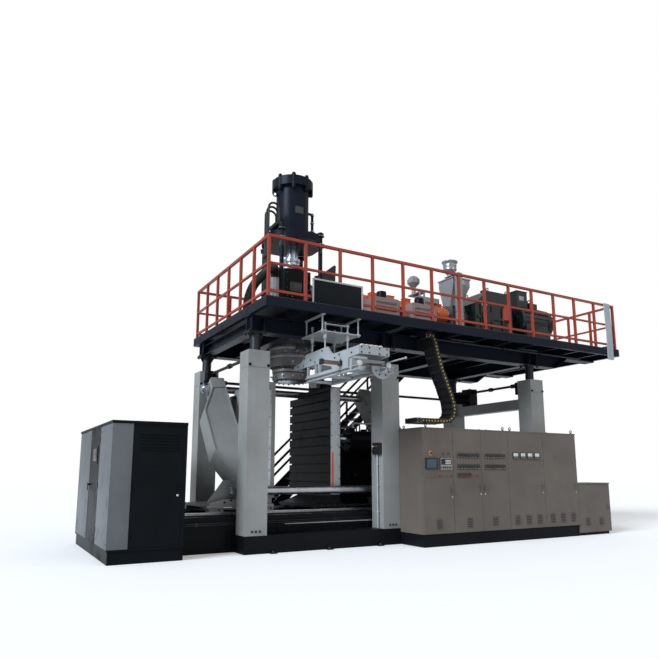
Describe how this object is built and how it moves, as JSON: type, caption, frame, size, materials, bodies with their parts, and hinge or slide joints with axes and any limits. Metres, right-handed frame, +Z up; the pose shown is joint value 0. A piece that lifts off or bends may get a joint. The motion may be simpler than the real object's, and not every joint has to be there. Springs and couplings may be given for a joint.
{
  "type": "blow moulding machine",
  "caption": "Accumulator head extrusion blow moulding machine with a lifting extruder platform, diagonal tie bar mould clamp, stairs and control cabinets.",
  "frame": {"origin": "point on the floor under the axis of the head and die", "axes": "+X along the platform from the head to the extruder drive, -Y towards the operator's cabinets, +Z up"},
  "size_m": [11.68, 6.17, 7.806],
  "materials": {
    "navy_paint": "semi-gloss",
    "black_paint": "semi-gloss",
    "post_grey_paint": "satin",
    "cabinet_grey_paint": "fine texture",
    "orange_paint": "semi-gloss",
    "machined_steel": "machined",
    "dark_steel": "heat darkened",
    "shaft_black": "blackened",
    "drive_green_paint": "gloss",
    "sheet_steel": "brushed",
    "blower_paint": "satin",
    "manipulator_paint": "satin",
    "black_plastic": "matte",
    "hose_rubber": "matte",
    "red_plastic": "gloss",
    "green_plastic": "gloss"
  },
  "bodies": {
    "base": {"clamp_bed": "black_paint", "bed_rails": "machined_steel", "post_base_beams": "black_paint", "front_posts": "post_grey_paint", "rear_posts": "post_grey_paint", "post_caps": "post_grey_paint", "switch_box": "black_plastic", "lift_gearboxes": "black_paint", "end_crossbeam": "post_grey_paint", "hydraulic_unit": "black_paint", "cabinet_plinths": "black_paint", "power_cabinet": "black_paint", "control_cabinet": "cabinet_grey_paint", "aux_cabinet": "cabinet_grey_paint"},
    "platform": {"main_girders": "navy_paint", "deck_frame": "navy_paint", "deck_plate": "navy_paint", "jack_columns": "machined_steel", "guard_rails": "orange_paint", "stairs": "black_paint", "drag_chain": "black_plastic", "press_cylinder": "navy_paint", "press_flange": "navy_paint", "head_block": "machined_steel", "accumulator_head": "dark_steel", "die_ring": "dark_steel", "extruder_barrel": "dark_steel", "heater_bands": "orange_paint", "hoppers": "sheet_steel", "reduction_gearbox": "drive_green_paint", "drive_motor": "drive_green_paint", "blower_boxes": "blower_paint", "manipulator_frame": "manipulator_paint", "hydraulic_hoses": "hose_rubber"},
    "left_cross_shaft": {"lift_shaft_left": "shaft_black"},
    "mid_cross_shaft": {"lift_shaft_mid": "shaft_black"},
    "right_cross_shaft": {"lift_shaft_right": "shaft_black"},
    "line_shaft": {"lift_shaft_rear": "shaft_black"},
    "clamp_frame": {"left_platen": "post_grey_paint", "left_arm": "post_grey_paint", "tie_bars": "machined_steel", "right_arm": "post_grey_paint", "clamp_cylinder": "black_paint"},
    "moving_platen": {"right_platen": "black_paint", "clamp_piston": "machined_steel"},
    "press_piston": {"press_rod": "machined_steel"},
    "pin": {"die_pin": "machined_steel"},
    "screw": {"extruder_screw": "machined_steel"},
    "take_out": {"manipulator_carriage": "manipulator_paint"},
    "door_1": {"control_door_1": "cabinet_grey_paint", "operator_panels": "black_plastic"},
    "door_2": {"control_door_2": "cabinet_grey_paint"},
    "door_3": {"control_door_3": "cabinet_grey_paint"},
    "door_4": {"control_door_4": "cabinet_grey_paint"},
    "door_5": {"control_door_5": "cabinet_grey_paint"},
    "stop_button": {"emergency_stop": "red_plastic"},
    "run_button": {"start_button": "green_plastic"},
    "small_door": {"aux_door": "cabinet_grey_paint"},
    "louvre_door": {"power_front_door": "black_paint"},
    "end_door": {"power_side_door": "black_paint"}
  },
  "joints": [
    {"name": "platform_lift", "type": "slide", "parent": "base", "child": "platform", "axis": [0, 0, 1], "range_m": [-0.05, 0.3], "deforming": ["drag_chain"]},
    {"name": "left_cross_shaft_turn", "type": "hinge", "parent": "base", "child": "left_cross_shaft", "pos_m": [-1.305, 0, 3.43], "axis": [0, 1, 0], "range_deg": [-600, 3500]},
    {"name": "mid_cross_shaft_turn", "type": "hinge", "parent": "base", "child": "mid_cross_shaft", "pos_m": [1.525, 0, 3.43], "axis": [0, 1, 0], "range_deg": [-600, 3500]},
    {"name": "right_cross_shaft_turn", "type": "hinge", "parent": "base", "child": "right_cross_shaft", "pos_m": [5.705, 0, 3.43], "axis": [0, 1, 0], "range_deg": [-600, 3500]},
    {"name": "line_shaft_turn", "type": "hinge", "parent": "base", "child": "line_shaft", "pos_m": [0, 1.21, 3.26], "axis": [1, 0, 0], "range_deg": [-600, 3500]},
    {"name": "clamp_frame_slide", "type": "slide", "parent": "base", "child": "clamp_frame", "axis": [1, 0, 0], "range_m": [-0.25, 0.3]},
    {"name": "right_platen_slide", "type": "slide", "parent": "base", "child": "moving_platen", "axis": [1, 0, 0], "range_m": [-0.3, 0.25]},
    {"name": "press_stroke", "type": "slide", "parent": "platform", "child": "press_piston", "axis": [0, 0, 1], "range_m": [-0.5, 0]},
    {"name": "die_gap_stroke", "type": "slide", "parent": "platform", "child": "pin", "axis": [0, 0, 1], "range_m": [-0.04, 0]},
    {"name": "screw_turn", "type": "hinge", "parent": "platform", "child": "screw", "pos_m": [2, 0, 5.15], "axis": [1, 0, 0], "continuous": true},
    {"name": "take_out_slide", "type": "slide", "parent": "platform", "child": "take_out", "axis": [0, -1, 0], "range_m": [0, 0.6]},
    {"name": "door_1_swing", "type": "hinge", "parent": "base", "child": "door_1", "pos_m": [1.706, -2.164, 1.2], "axis": [0, 0, -1], "range_deg": [0, 100]},
    {"name": "door_2_swing", "type": "hinge", "parent": "base", "child": "door_2", "pos_m": [2.43933, -2.164, 1.2], "axis": [0, 0, -1], "range_deg": [0, 100]},
    {"name": "door_3_swing", "type": "hinge", "parent": "base", "child": "door_3", "pos_m": [3.894, -2.164, 1.2], "axis": [0, 0, 1], "range_deg": [0, 86]},
    {"name": "door_4_swing", "type": "hinge", "parent": "base", "child": "door_4", "pos_m": [3.906, -2.164, 1.2], "axis": [0, 0, -1], "range_deg": [0, 86]},
    {"name": "door_5_swing", "type": "hinge", "parent": "base", "child": "door_5", "pos_m": [4.946, -2.164, 1.2], "axis": [0, 0, -1], "range_deg": [0, 100]},
    {"name": "stop_press", "type": "slide", "parent": "door_1", "child": "stop_button", "axis": [0, 1, 0], "range_m": [0, 0.006], "stiffness_N_per_m": 900},
    {"name": "run_press", "type": "slide", "parent": "door_1", "child": "run_button", "axis": [0, 1, 0], "range_m": [0, 0.006], "stiffness_N_per_m": 900},
    {"name": "small_door_swing", "type": "hinge", "parent": "base", "child": "small_door", "pos_m": [5.986, -2.164, 0.58], "axis": [0, 0, -1], "range_deg": [0, 100]},
    {"name": "louvre_door_swing", "type": "hinge", "parent": "base", "child": "louvre_door", "pos_m": [-3.404, -1.514, 1.15], "axis": [0, 0, -1], "range_deg": [0, 100]},
    {"name": "end_door_swing", "type": "hinge", "parent": "base", "child": "end_door", "pos_m": [-3.724, -0.464, 1.15], "axis": [0, 0, 1], "range_deg": [0, 100]}
  ],
  "couplings": [
    {"joint": "left_cross_shaft_turn", "follows": "platform_lift", "rad_per_m": 196.35},
    {"joint": "mid_cross_shaft_turn", "follows": "platform_lift", "rad_per_m": 196.35},
    {"joint": "right_cross_shaft_turn", "follows": "platform_lift", "rad_per_m": 196.35},
    {"joint": "line_shaft_turn", "follows": "platform_lift", "rad_per_m": 196.35},
    {"joint": "right_platen_slide", "follows": "clamp_frame_slide", "ratio": -1}
  ]
}
